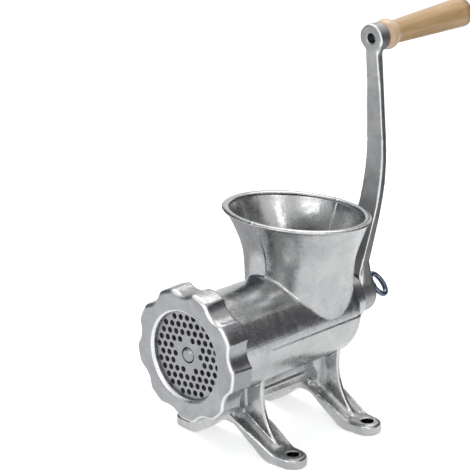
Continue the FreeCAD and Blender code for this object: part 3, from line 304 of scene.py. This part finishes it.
class Finish:
    """A node material under construction, read in object coordinates."""

    def __init__(self, name, colour, roughness, metallic=1.0):
        self.material = bpy.data.materials.new(name)
        self.nodes, self.links = empty_tree(self.material)
        self.shader = self.nodes.new("ShaderNodeBsdfPrincipled")
        output = self.nodes.new("ShaderNodeOutputMaterial")
        self.links.new(self.shader.outputs[0], output.inputs["Surface"])
        self.shader.inputs["Base Color"].default_value = (*colour, 1)
        self.shader.inputs["Roughness"].default_value = roughness
        self.shader.inputs["Metallic"].default_value = metallic
        self.place = self.nodes.new("ShaderNodeTexCoord").outputs["Object"]
        self.height = None

    def feed(self, socket, value):
        """Give an input a socket, a colour or a number."""
        if isinstance(value, bpy.types.NodeSocket):
            self.links.new(value, socket)
        else:
            socket.default_value = (*value, 1) if isinstance(value, tuple) else value

    def stretched(self, scale, centre=(0, 0, 0)):
        """Object coordinates, moved and stretched."""
        mapping = self.nodes.new("ShaderNodeMapping")
        mapping.vector_type = "TEXTURE"
        mapping.inputs["Location"].default_value = centre
        mapping.inputs["Scale"].default_value = scale
        self.links.new(self.place, mapping.inputs["Vector"])
        return mapping.outputs[0]

    def noise(self, scale, detail=3.0, roughness=0.55, where=None, distortion=0.0):
        """Cloudy noise over object coordinates, or over others."""
        texture = self.nodes.new("ShaderNodeTexNoise")
        texture.inputs["Scale"].default_value = scale
        texture.inputs["Detail"].default_value = detail
        texture.inputs["Roughness"].default_value = roughness
        texture.inputs["Distortion"].default_value = distortion
        self.links.new(where or self.place, texture.inputs["Vector"])
        return texture.outputs["Fac"]

    def ramp(self, value, stops):
        """Colours over a value."""
        ramp = self.nodes.new("ShaderNodeValToRGB")
        elements = ramp.color_ramp.elements
        for index, (position, colour) in enumerate(stops):
            if index >= len(elements):
                elements.new(position)
            elements[index].position = position
            elements[index].color = (*colour, 1)
        self.links.new(value, ramp.inputs["Fac"])
        return ramp.outputs["Color"]

    def remap(self, value, low, high, to_low=0.0, to_high=1.0):
        """A value moved from one range to another, and held at its ends."""
        mapped = self.nodes.new("ShaderNodeMapRange")
        ends = {"From Min": low, "From Max": high, "To Min": to_low, "To Max": to_high}
        for socket, number in ends.items():
            mapped.inputs[socket].default_value = number
        self.links.new(value, mapped.inputs["Value"])
        return mapped.outputs["Result"]

    def maths(self, operation, *values):
        """One step of arithmetic on sockets or numbers."""
        node = self.nodes.new("ShaderNodeMath")
        node.operation = operation
        for socket, value in zip(node.inputs, values):
            self.feed(socket, value)
        return node.outputs[0]

    def length(self, first, second):
        """The length of the long side over two sides at a right angle."""
        squares = (self.maths("MULTIPLY", value, value) for value in (first, second))
        return self.maths("SQRT", self.maths("ADD", *squares))

    def blend(self, share, first, second):
        """A colour between two colours or sockets."""
        mix = self.nodes.new("ShaderNodeMix")
        mix.data_type = "RGBA"
        factor = [item for item in mix.inputs if item.name == "Factor" and item.type == "VALUE"][0]
        ends = [item for item in mix.inputs if item.name in ("A", "B") and item.type == "RGBA"]
        for socket, value in zip((factor, *ends), (share, first, second)):
            self.feed(socket, value)
        return [item for item in mix.outputs if item.type == "RGBA"][0]

    def axis(self, name):
        """One object coordinate."""
        split = self.nodes.new("ShaderNodeSeparateXYZ")
        self.links.new(self.place, split.inputs[0])
        return split.outputs[name]

    def foot_bore_shade(self):
        """A value that is 1 on the walls of the feet's bolt holes, where their shade is painted
        black.
        """
        sides = (self.maths("SUBTRACT", self.maths("ABSOLUTE", self.axis(name)), place)
                 for name, place in (("X", FOOT_ACROSS), ("Y", FOOT_ALONG)))
        near = self.remap(self.length(*sides), *FOOT_BORE_EDGE, 1, 0)
        low = self.remap(self.axis("Z"), *FOOT_BORE_TOP, 1, 0)
        return self.maths("MULTIPLY", near, low)

    def eye_bore_shade(self):
        """A value that is 1 on the walls of the recess in the crank's eye, where its shade is
        painted black.
        """
        up = self.maths("SUBTRACT", self.axis("Z"), EYE_HEIGHT)
        return self.remap(self.length(self.axis("X"), up), *EYE_BORE_EDGE, 1, 0)

    def bump(self, value, depth):
        """Raise the surface by a value, depth in metres, on top of what is raised already."""
        node = self.nodes.new("ShaderNodeBump")
        node.inputs["Distance"].default_value = depth
        node.inputs["Strength"].default_value = 1.0
        self.links.new(value, node.inputs["Height"])
        if self.height:
            self.links.new(self.height, node.inputs["Normal"])
        self.height = node.outputs["Normal"]
        self.links.new(self.height, self.shader.inputs["Normal"])

    def use(self, socket, value):
        """Feed one of the shader's inputs."""
        self.links.new(value, self.shader.inputs[socket])


def cast_tin(name, light, dark, smooth, rough, unevenness=1.0, casting=False, bore_shade=None,
             shine=0.6):
    """Tinned iron: cast skin, wavy and sandy, under a satin coat of tin with duller patches.

    The casting also has streaks, along its barrel and down its hopper, and calmer legs. The bore
    argument is the method of Finish that marks where shade is painted black in bores, and shine is
    how bright the corners' painted highlight is, which on the casting stands for rubbed tin as
    well.
    """
    finish = Finish(name, light, smooth)
    patches = finish.noise(34, detail=5, roughness=0.62, distortion=0.6)
    tint = finish.blend(finish.remap(patches, 0.38, 0.68), light, dark)
    # Painted highlight on corners, read from a mesh attribute; on the casting it is rubbed tin as
    # well
    wear_and_sheen = finish.nodes.new("ShaderNodeAttribute")
    wear_and_sheen.attribute_name = "wear_and_sheen"
    tint = finish.blend(finish.maths("MULTIPLY", wear_and_sheen.outputs["Fac"], shine), tint, SHEEN_AND_WEAR_TIN)
    # Painted shade: the walls of bores coloured black
    if bore_shade:
        tint = finish.blend(bore_shade(finish), tint, BORE_PAINTED_SHADE)
    finish.use("Base Color", tint)
    cloudy = finish.noise(140, detail=6, roughness=0.75)
    finish.use("Roughness", finish.remap(cloudy, 0.3, 0.72, smooth, rough))
    waves = finish.noise(26, detail=2, roughness=0.5)
    if casting:
        along, down = (finish.noise(75, detail=3, roughness=0.5, where=finish.stretched(scale))
                       for scale in ((1, 7, 1), (1, 1, 6)))
        on_hopper = finish.remap(finish.axis("Z"), *HOPPER_START)
        calm = finish.remap(finish.axis("Z"), *LEGS_END, to_low=0.3)
        streaks = finish.maths("MULTIPLY", finish.blend(on_hopper, along, down), calm)
        finish.bump(streaks, 0.30 * MM * unevenness)
        waves = finish.maths("MULTIPLY", waves, calm)
    finish.bump(waves, 0.9 * MM * unevenness)
    finish.bump(finish.noise(260, detail=3, roughness=0.5), 0.07 * MM * unevenness)
    finish.bump(finish.noise(700, detail=2, roughness=0.5), 0.05 * MM * unevenness)
    return finish.material


def ground_steel(name, colour, roughness, marks):
    """Ground steel with fine concentric marks about the barrel's axis."""
    finish = Finish(name, colour, roughness)
    stains = finish.remap(finish.noise(40, detail=5, roughness=0.6), 0.35, 0.7)
    finish.use("Base Color", finish.blend(stains, colour, tuple(part * 0.82 for part in colour)))
    finish.use("Roughness", finish.remap(finish.noise(120, detail=4), 0.3, 0.7,
                                         roughness, roughness + 0.14))
    up = finish.maths("SUBTRACT", finish.axis("Z"), AXIS_HEIGHT)
    rings = finish.nodes.new("ShaderNodeTexNoise")
    rings.noise_dimensions = "1D"
    rings.inputs["Scale"].default_value = 1600
    rings.inputs["Detail"].default_value = 2
    finish.links.new(finish.length(finish.axis("X"), up), rings.inputs["W"])
    finish.bump(rings.outputs["Fac"], marks)
    return finish.material


def beech(name):
    """Varnished beech, turned along the grain: flecked, with a pale bead and a dark far end."""
    finish = Finish(name, (0.55, 0.36, 0.17), 0.36, metallic=0.0)
    along = finish.stretched((1, 9, 1), centre=(0, 0, EYE_HEIGHT))
    bands = finish.noise(150, detail=5, roughness=0.62, where=along, distortion=0.8)
    wood = finish.ramp(bands, [(0.30, (0.46, 0.285, 0.125)), (0.5, (0.54, 0.345, 0.165)),
                               (0.72, (0.62, 0.41, 0.205))])
    on_bead = finish.remap(finish.axis("Y"), BEAD_END - 2 * MM, BEAD_END + 3 * MM, 0.75, 0.0)
    wood = finish.blend(on_bead, wood, (0.72, 0.52, 0.34))
    flecks = finish.noise(1500, detail=2, roughness=0.5, where=finish.stretched((1, 14, 1)))
    wood = finish.blend(finish.remap(flecks, 0.60, 0.74, 0.0, 0.35), wood, (0.33, 0.19, 0.085))
    at_end = finish.remap(finish.axis("Y"), GRIP_END - 13 * MM, GRIP_END - 4 * MM, 0.0, 0.75)
    wood = finish.blend(at_end, wood, (0.20, 0.085, 0.04))
    finish.use("Base Color", wood)
    finish.use("Roughness", finish.remap(bands, 0.3, 0.7, 0.42, 0.30))
    finish.bump(flecks, 0.05 * MM)
    finish.shader.inputs["Coat Weight"].default_value = 0.35
    finish.shader.inputs["Coat Roughness"].default_value = 0.18
    return finish.material


def coat(thing, material):
    """Give an object one material in place of what it had."""
    thing.data.materials.clear()
    thing.data.materials.append(material)


# Working on meshes

def finished(name, bm, material, body, stands_for):
    """Turn a bmesh into a piece of the object that rides on a body."""
    piece = linked(name, mesh_of(name, bm))
    coat(piece, material)
    piece.data.shade_smooth()
    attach(piece, body)
    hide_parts(*stands_for)


def merged_copy(node):
    """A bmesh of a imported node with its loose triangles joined."""
    bm = bmesh.new()
    bm.from_mesh(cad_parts[node].data)
    bmesh.ops.remove_doubles(bm, verts=bm.verts, dist=MERGE_DISTANCE)
    return bm


def applied(bm, kind, **settings):
    """Run a modifier over a bmesh, which is freed, and return the new bmesh."""
    thing = linked("work", mesh_of("work", bm))
    mesh = thing.data
    modifier = thing.modifiers.new(kind.lower(), kind)
    for name, value in settings.items():
        setattr(modifier, name, value)
    bpy.context.view_layer.update()
    result = bmesh.new()
    result.from_mesh(thing.evaluated_get(bpy.context.evaluated_depsgraph_get()).to_mesh())
    bpy.data.objects.remove(thing)
    bpy.data.meshes.remove(mesh)
    return result


def join_in(bm, other):
    """Add one closed bmesh to another and free it."""
    bmesh.ops.recalc_face_normals(other, faces=other.faces)
    mesh = mesh_of("joined", other)
    bm.from_mesh(mesh)
    bpy.data.meshes.remove(mesh)


def crease_points(bm):
    """Points along the sharp inner and outer corners of a joined mesh."""
    inner, outer = [], []
    for edge in bm.edges:
        if len(edge.link_faces) != 2:
            continue
        angle = edge.calc_face_angle_signed()
        if abs(angle) < CREASE_ANGLE:
            continue
        start, end = (vert.co for vert in edge.verts)
        steps = max(1, int((end - start).length / CREASE_STEP))
        chosen = outer if angle > 0 else inner
        chosen.extend(start.lerp(end, step / steps) for step in range(steps + 1))
    return inner, outer


def tree_of(points):
    """A search tree over some points."""
    tree = KDTree(len(points))
    for index, point in enumerate(points):
        tree.insert(point, index)
    tree.balance()
    return tree


def worn(bm, corners, reach, rounds, cap):
    """Smooth the mesh near some corners, most at the corners themselves, by no more than a cap."""
    if not corners:
        return
    tree = tree_of(corners)
    near = [(tree.find(vert.co)[2] / reach, vert, vert.co.copy()) for vert in bm.verts]
    near = [part for part in near if part[0] < 1]
    for turn in range(rounds):
        limit = 1 - turn / rounds
        bmesh.ops.smooth_vert(bm, verts=[vert for share, vert, _ in near if share < limit],
                              factor=0.5, use_axis_x=True, use_axis_y=True, use_axis_z=True)
    for _, vert, start in near:
        move = vert.co - start
        if move.length > cap:
            vert.co = start + move.normalized() * cap


def marked(bm, share):
    """Note on each point how much painted highlight it gets at a bright corner, which on the
    casting is rubbed tin as well.
    """
    layer = bm.verts.layers.float.new("wear_and_sheen")
    bm.normal_update()
    for vert in bm.verts:
        vert[layer] = share(vert)
    return bm


def front_sheen(vert, outward, back):
    """How much a point faces outwards and forwards at once, or 0 behind a limit: its share of
    painted highlight on a front edge.
    """
    if vert.co.y >= back:
        return 0
    return ease(min(abs(outward), -vert.normal.y), SHEEN_FROM, SHEEN_FULL)


def recast(sharp, voxel):
    """An even mesh over one or more closed solids, with its points back on their surfaces."""
    walls = BVHTree.FromBMesh(sharp)
    bm = applied(sharp, "REMESH", mode="VOXEL", voxel_size=voxel)
    for vert in bm.verts:
        vert.co = walls.find_nearest(vert.co)[0]
    return bm


def thinned(bm):
    """Fewer triangles, where there are more than the most."""
    triangles = sum(len(face.verts) - 2 for face in bm.faces)
    return applied(bm, "DECIMATE", ratio=min(1, MOST_TRIANGLES / triangles))


def add_hull(bm, points):
    """Add the convex solid round some points."""
    hull = bmesh.new()
    for point in points:
        hull.verts.new(point)
    made = bmesh.ops.convex_hull(hull, input=hull.verts)
    inside = {item for item in made["geom_interior"] + made["geom_unused"]
              if isinstance(item, bmesh.types.BMVert)}
    bmesh.ops.delete(hull, geom=list(inside), context="VERTS")
    join_in(bm, hull)


# The casting

def on_saddle(point):
    """Whether a corner lies where the hopper runs into the barrel."""
    return (point.z > SADDLE_LOWEST and SADDLE_START < point.y < SADDLE_END
            and from_axis(point) > SADDLE_RADIUS)


def on_foot(point):
    """Whether a corner lies round a foot, at its top or its sole."""
    away = math.hypot(abs(point.x) - FOOT_ACROSS, abs(point.y) - FOOT_ALONG)
    return point.z < FOOT_TOP and FOOT_INSIDE < away < FOOT_OUTSIDE


def on_rib(point):
    """Whether a corner lies along the bottom of one of the legs' upright ribs."""
    return (RIB_START < abs(point.x) < RIB_END and point.z < RIB_TOP
            and abs(abs(abs(point.y) - RIB_PLANE) - RIB_HALF) < RIB_MARGIN)


def on_crown(point):
    """Whether a corner lies where the arches' crowns meet the keel and the barrel."""
    return (abs(point.x) < CROWN_ACROSS and CROWN_LOWEST < point.z < CROWN_HIGHEST
            and abs(point.y) > CROWN_ALONG)


def add_rim(bm):
    """The rolled edge of the hopper's mouth, as a closed flattened bead."""
    rim = bmesh.new()
    reach = MOUTH_ALONG - RIM_HALF_WIDTH
    flattened = Matrix.Diagonal((1, RIM_HALF_HEIGHT / RIM_HALF_WIDTH, 1, 1))
    upright = Matrix.Rotation(math.pi / 2, 4, "X") @ flattened
    bmesh.ops.create_circle(rim, segments=24, radius=RIM_HALF_WIDTH,
                            matrix=Matrix.Translation((reach, 0, 0)) @ upright)
    bmesh.ops.spin(rim, geom=rim.edges[:], cent=(0, 0, 0), axis=(0, 0, 1), angle=2 * math.pi,
                   steps=160, use_merge=True)
    widened = Matrix.Diagonal(((MOUTH_ACROSS - RIM_HALF_WIDTH) / reach, 1, 1, 1))
    place = Matrix.Translation((0, MOUTH_CENTRE, MOUTH_HEIGHT - RIM_HALF_HEIGHT))
    bmesh.ops.transform(rim, matrix=place @ widened, verts=rim.verts)
    join_in(bm, rim)


def add_parting(bm):
    """The mould's parting lines: a ridge down the hopper and a step along the barrel's sides."""
    bm.normal_update()
    for vert in bm.verts:
        place, normal = vert.co, vert.normal
        if (place.z > RIDGE_LOWEST and abs(place.x) < RIDGE_REACH
                and abs(normal.y) > RIDGE_FACING):
            ridge = math.exp(-(place.x / RIDGE_WIDTH) ** 2)
            vert.co = place + normal * (RIDGE_HEIGHT * ridge)
        if (from_axis(place) > STEP_RADIUS and abs(normal.x) > STEP_FACING
                and STEP_START < place.y < STEP_END
                and abs(place.z - AXIS_HEIGHT) < STEP_FADE_FROM):
            step = ease(place.z, AXIS_HEIGHT + STEP_BLEND, AXIS_HEIGHT - STEP_BLEND)
            step *= ease(place.z, AXIS_HEIGHT - STEP_FADE_FROM, AXIS_HEIGHT - STEP_FADE_FULL)
            vert.co = place + normal * (STEP_HEIGHT * step)


def tilt_mouth(bm):
    """Lift the front of the hopper's mouth a little and lower its rear."""
    for vert in bm.verts:
        share = ease(vert.co.z, SLOPE_FROM, SLOPE_FULL)
        vert.co.z += MOUTH_SLOPE * (vert.co.y - MOUTH_CENTRE) * share


def make_casting(material):
    """The casting with a rolled rim, filled inner corners and worn edges."""
    sharp = merged_copy("housing")
    inner, outer = crease_points(sharp)
    add_rim(sharp)
    bm = recast(sharp, voxel=1.05 * MM)
    plain = [point for point in inner
             if not (on_saddle(point) or on_rib(point) or on_crown(point))]
    edges = [point for point in outer if not (on_foot(point) or on_crown(point))]
    feet = list(filter(on_foot, outer))
    uppers, soles = ([point for point in feet if (point.z > SOLE_TOP) is upper]
                     for upper in (True, False))
    leg_edges, body_edges = ([point for point in edges if (point.z < LEG_TOP) is low]
                             for low in (True, False))
    worn(bm, list(filter(on_saddle, inner)), reach=6.5 * MM, rounds=20, cap=3 * MM)
    worn(bm, list(filter(on_rib, inner)), reach=3.6 * MM, rounds=14, cap=2 * MM)
    worn(bm, list(filter(on_crown, inner + outer)), reach=4.5 * MM, rounds=18, cap=2.2 * MM)
    worn(bm, plain, reach=2 * MM, rounds=4, cap=0.8 * MM)
    worn(bm, uppers, reach=7 * MM, rounds=36, cap=3.2 * MM)
    worn(bm, soles, reach=4 * MM, rounds=20, cap=2 * MM)
    worn(bm, leg_edges, reach=2.4 * MM, rounds=8, cap=0.9 * MM)
    worn(bm, body_edges, reach=1.6 * MM, rounds=3, cap=0.6 * MM)
    add_parting(bm)
    tilt_mouth(bm)
    tree = tree_of([point for point in edges if point.z < SHEEN_AND_WEAR_HIGHEST])

    # Bright tin along the outer edges below the hopper: rubbed tin, and a painted highlight
    def wear_and_sheen(vert):
        return math.exp(-(tree.find(vert.co)[2] / SHEEN_AND_WEAR_WIDTH) ** 2)

    finished("casting_skin", marked(thinned(bm), wear_and_sheen), material,
             "casting", ["housing"])


# The ring nut

def make_ring(material):
    """The ring nut with the soft edges of a casting, softest round its face."""
    sharp = merged_copy("ring_nut")
    face_edge = [vert.co.copy() for vert in sharp.verts
                 if from_axis(vert.co) > FACE_EDGE_RADIUS and vert.co.y < FACE_EDGE_END]
    lobes = [point for point in crease_points(sharp)[1] if from_axis(point) > LOBE_RADIUS]
    bm = recast(sharp, voxel=0.8 * MM)
    worn(bm, face_edge, reach=6 * MM, rounds=44, cap=2.8 * MM)
    worn(bm, lobes, reach=7 * MM, rounds=40, cap=2.6 * MM)

    # Painted highlight on the rounded edge of the face, where it faces forwards and outwards
    def wear_and_sheen(vert):
        return front_sheen(vert, math.hypot(vert.normal.x, vert.normal.z), FACE_BRIGHT_END)

    finished("ring_skin", marked(thinned(bm), wear_and_sheen), material, "ring", ["ring_nut"])


# The crank

def hub_arc(radius, station):
    """Points of a circle about the barrel's axis, from the gusset's lowest height up."""
    turns = (math.radians(degrees) for degrees in range(0, 181, ARC_DEGREES))
    points = (Vector((radius * math.cos(turn), station, AXIS_HEIGHT + radius * math.sin(turn)))
              for turn in turns)
    return [point for point in points if point.z > AXIS_HEIGHT + GUSSET_LOWEST]


def bar_section(half_width, front, back, height):
    """The corners of a level section through a bar."""
    return [Vector((side * half_width, station, height))
            for side in (-1, 1) for station in (front, back)]


def add_gusset(bm):
    """The metal that runs from the crank's arm down into its hub."""
    points = bar_section(half_width=13.6 * MM, front=113 * MM, back=120.5 * MM, height=GUSSET_TOP)
    for radius, station in GUSSET_ARCS:
        points += hub_arc(radius, station)
    add_hull(bm, points)


def add_eye_root(bm):
    """The metal that brings the arm's front level with the eye's."""
    upper = bar_section(half_width=8 * MM, front=EYE_FRONT + 0.4 * MM, back=EYE_FRONT + 6 * MM,
                        height=EYE_HEIGHT - 9 * MM)
    lower = bar_section(half_width=8.2 * MM, front=140.3 * MM, back=143 * MM,
                        height=EYE_HEIGHT - 60 * MM)
    add_hull(bm, upper + lower)


def make_crank(material):
    """The crank with its arm run smoothly into the hub and the eye."""
    sharp = merged_copy("crank_arm")
    inner, outer = crease_points(sharp)
    root = [point for point in inner if ROOT_LOWEST < point.z < ROOT_HIGHEST]
    neck = [point for point in inner if point.z > NECK_LOWEST and point.y < NECK_END
            and from_eye(point) > NECK_RADIUS]
    hub_edge = [point for point in outer if point.y < HUB_FRONT + HUB_EDGE_MARGIN
                and abs(from_axis(point) - HUB_RADIUS) < HUB_EDGE_MARGIN]
    add_gusset(sharp)
    add_eye_root(sharp)
    edges = crease_points(sharp)[1]
    bm = recast(sharp, voxel=0.9 * MM)
    worn(bm, root, reach=9 * MM, rounds=24, cap=4 * MM)
    worn(bm, hub_edge, reach=6 * MM, rounds=30, cap=2.6 * MM)
    worn(bm, neck, reach=5 * MM, rounds=20, cap=2 * MM)
    worn(bm, edges, reach=2.2 * MM, rounds=6, cap=0.9 * MM)

    # Painted highlight on the rounded front edges of the arm and the hub, none in the eye's recess
    def wear_and_sheen(vert):
        if from_eye(vert.co) < EYE_RADIUS / 2:
            return 0
        on_arm = ARM_LOWEST < vert.co.z < EYE_HEIGHT - EYE_RADIUS
        outward = vert.normal.x if on_arm else math.hypot(vert.normal.x, vert.normal.z)
        return front_sheen(vert, outward, HUB_BRIGHT_END if vert.co.z < ARM_LOWEST else ARM_BRIGHT_END)

    finished("crank_skin", marked(thinned(bm), wear_and_sheen), material,
             "crank", ["crank_arm"])


# The whole scene

def add_studio():
    """The floor, the lights and the cards of the photographer's studio."""
    add_world(fill=0.55)
    add_floor(lift=0.55)
    add_softbox("top_light", place=(-0.5, 0.5, 1.7), size=(1.2, 0.8), power=13, colour=WARM)
    add_softbox("front_light", place=(-0.2, -1.9, 0.55), size=(0.9, 0.6), power=6)
    add_softbox("high_light", place=(0.9, -1.4, 1.6), size=(0.6, 0.6), power=5, colour=WARM)
    add_softbox("side_light", place=(1.7, -1.25, 0.85), size=(0.6, 0.8), power=5)
    add_flag("right_flag", place=(0.75, 0.75, 0.40), size=(1.7, 0.9), colour=(0.15, 0.15, 0.155))
    add_flag("left_flag", place=(-1.25, -0.3, 0.50), size=(2.0, 1.1), colour=(0.10, 0.12, 0.15))
    add_flag("left_low_flag", place=(-0.42, 0.20, 0.002), size=(0.56, 0.66),
             colour=(0.58, 0.58, 0.59), aim=(-0.42, 0.20, 0))
    add_flag("rear_flag", place=(0.12, 0.46, 0.11), size=(0.9, 0.22),
             colour=(0.10, 0.105, 0.12), aim=(0.12, 0, 0.11))


def dress_nodes():
    """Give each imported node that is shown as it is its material."""
    worm_tin = cast_tin("worm_tin", light=(0.55, 0.55, 0.54), dark=(0.42, 0.42, 0.42),
                        smooth=0.34, rough=0.5)
    plate_steel = ground_steel("plate_steel", (0.34, 0.345, 0.36), 0.42, marks=0.02 * MM)
    knife_steel = ground_steel("knife_steel", (0.42, 0.425, 0.43), 0.34, marks=0.02 * MM)
    bright_steel = ground_steel("bright_steel", (0.30, 0.31, 0.33), 0.22, marks=0.01 * MM)
    # Near-black steel for the spindle: painted shade
    painted_shade_steel = ground_steel("painted_shade_steel", (0.035, 0.04, 0.055), 0.30, marks=0.01 * MM)
    zinc = ground_steel("bright_zinc", (0.13, 0.16, 0.22), 0.10, marks=0.01 * MM)
    for node, material in {
        "plate_pin": bright_steel,
        "cutting_plate": plate_steel,
        "cross_knife": knife_steel,
        "worm_stud": bright_steel,
        "feed_worm": worm_tin,
        "thrust_washer": bright_steel,
        "screw_washer": zinc,
        "thumb_screw": zinc,
        "grip_washer": zinc,
        "grip": beech("beech"),
        "grip_end_washer": zinc,
        "grip_spindle": painted_shade_steel,
    }.items():
        coat(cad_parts[node], material)


def main():
    SCENE.view_settings.view_transform = "Standard"
    add_camera()
    add_studio()
    dress_nodes()
    make_casting(cast_tin("bright_tin", light=(0.45, 0.455, 0.46), dark=(0.36, 0.365, 0.37),
                          smooth=0.16, rough=0.38, casting=True, bore_shade=Finish.foot_bore_shade))
    make_ring(cast_tin("ring_tin", light=(0.34, 0.345, 0.355), dark=(0.26, 0.265, 0.28),
                       smooth=0.20, rough=0.40, unevenness=1.3, shine=0.7))
    make_crank(cast_tin("crank_tin", light=(0.36, 0.365, 0.37), dark=(0.26, 0.265, 0.27),
                        smooth=0.34, rough=0.52, bore_shade=Finish.eye_bore_shade, shine=0.8))

    bpy.context.view_layer.update()


main()
